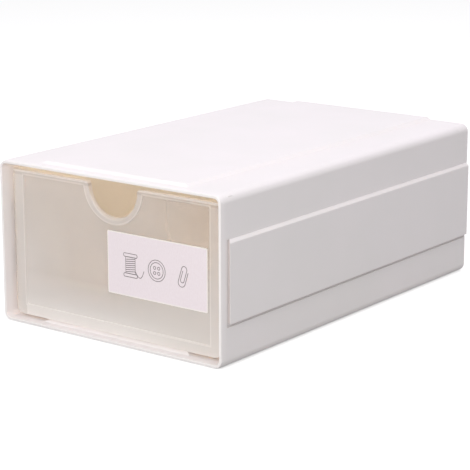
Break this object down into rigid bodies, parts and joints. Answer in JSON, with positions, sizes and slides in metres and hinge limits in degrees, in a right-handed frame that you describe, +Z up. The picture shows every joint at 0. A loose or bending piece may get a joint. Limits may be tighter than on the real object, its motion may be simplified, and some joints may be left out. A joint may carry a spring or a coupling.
{
  "type": "stackable drawer box",
  "caption": "Open-fronted white storage case with raised side plates and a stacking top, holding a frosted slide-out drawer with a half-round finger notch and a paper label.",
  "frame": {"origin": "under the middle of the box, at the level of its foot", "axes": "+Z up, the open front faces -Y, +X to the right seen from the front"},
  "size_m": [0.1836, 0.286, 0.1085],
  "materials": {
    "case_white": "satin moulded polypropylene",
    "drawer_frosted": "frosted translucent polypropylene",
    "label_paper": "matte coated paper"
  },
  "bodies": {
    "case": {"case_shell": "case_white", "side_panel_left": "case_white", "side_panel_right": "case_white"},
    "drawer": {"drawer_tray": "drawer_frosted", "label_sticker": "label_paper"}
  },
  "joints": [
    {"name": "drawer_slide", "type": "slide", "parent": "case", "child": "drawer", "axis": [0, -1, 0], "range_m": [0, 0.2]}
  ]
}
